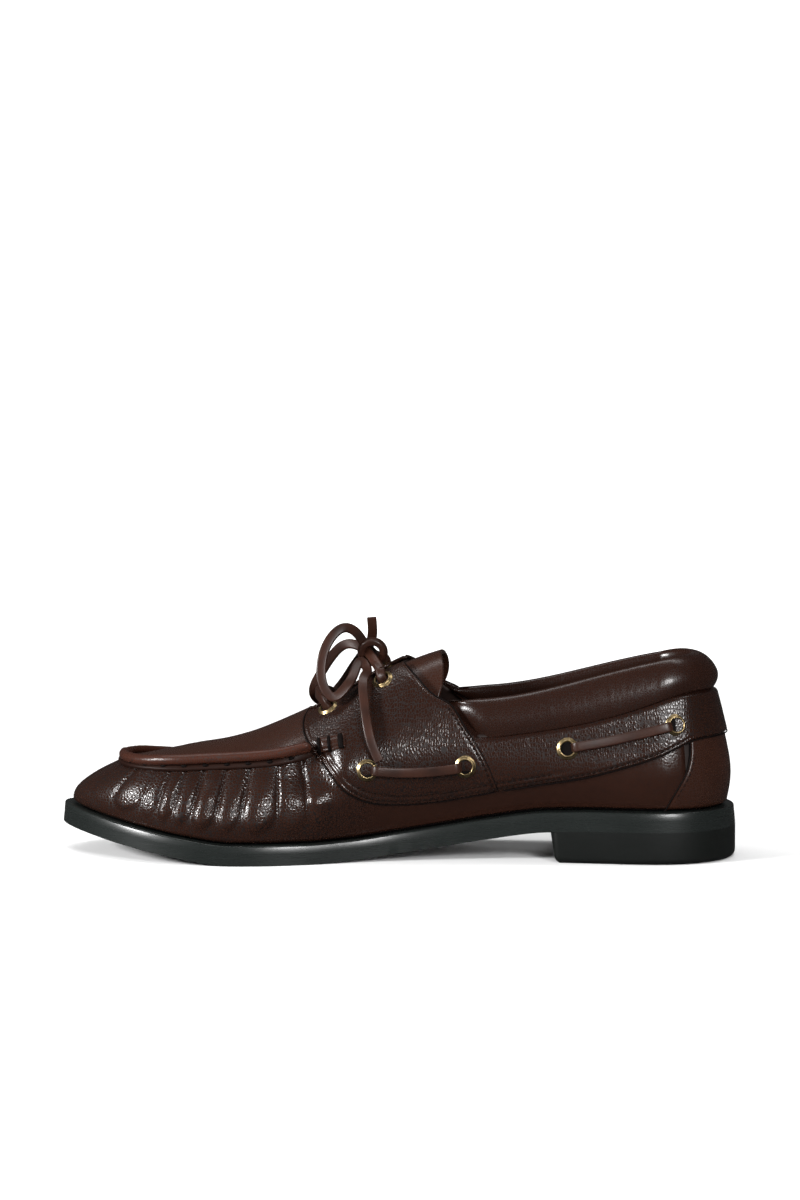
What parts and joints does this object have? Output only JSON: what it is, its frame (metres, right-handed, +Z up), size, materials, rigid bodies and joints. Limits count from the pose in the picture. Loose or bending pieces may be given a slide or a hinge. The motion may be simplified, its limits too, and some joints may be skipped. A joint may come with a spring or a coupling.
{
  "type": "lace-up loafer",
  "caption": "Low leather shoe for the right foot: moccasin toe with a rolled apron seam, padded collar, lace through metal eyelets and tied over the tongue, on a thin sole with a low heel.",
  "frame": {"origin": "on the floor plane, under the middle of the sole's outline", "axes": "+Z up; the toe points along -X and the heel along +X; the inner side of the foot is -Y, the outer side is +Y"},
  "size_m": [0.2977, 0.1014, 0.1039],
  "materials": {
    "leather": "glossy pebbled leather",
    "rolled_leather": "satin leather",
    "lining": "matte leather",
    "sole": "polished edge",
    "brass": "antique brass",
    "lace": "satin leather thong"
  },
  "bodies": {
    "root": {"outsole": "sole", "welt": "sole", "heel": "sole", "insole": "lining", "upper": "leather", "collar": "leather", "tongue": "leather", "apron_roll": "rolled_leather", "eyelet_inner_side_1": "brass", "eyelet_inner_side_2": "brass", "eyelet_inner_side_3": "brass", "eyelet_inner_side_4": "brass", "eyelet_inner_throat_low": "brass", "eyelet_inner_throat_top": "brass", "eyelet_outer_side_1": "brass", "eyelet_outer_side_2": "brass", "eyelet_outer_side_3": "brass", "eyelet_outer_side_4": "brass", "eyelet_outer_throat_low": "brass", "eyelet_outer_throat_top": "brass", "lace_bar_inner_front": "lace", "lace_bar_inner_back": "lace", "lace_bar_outer_front": "lace", "lace_bar_outer_back": "lace", "lace_crossing": "lace", "lace_knot": "lace", "lace_loop_inner": "lace", "lace_end_inner": "lace", "lace_bow_outer": "lace"}
  },
  "joints": []
}
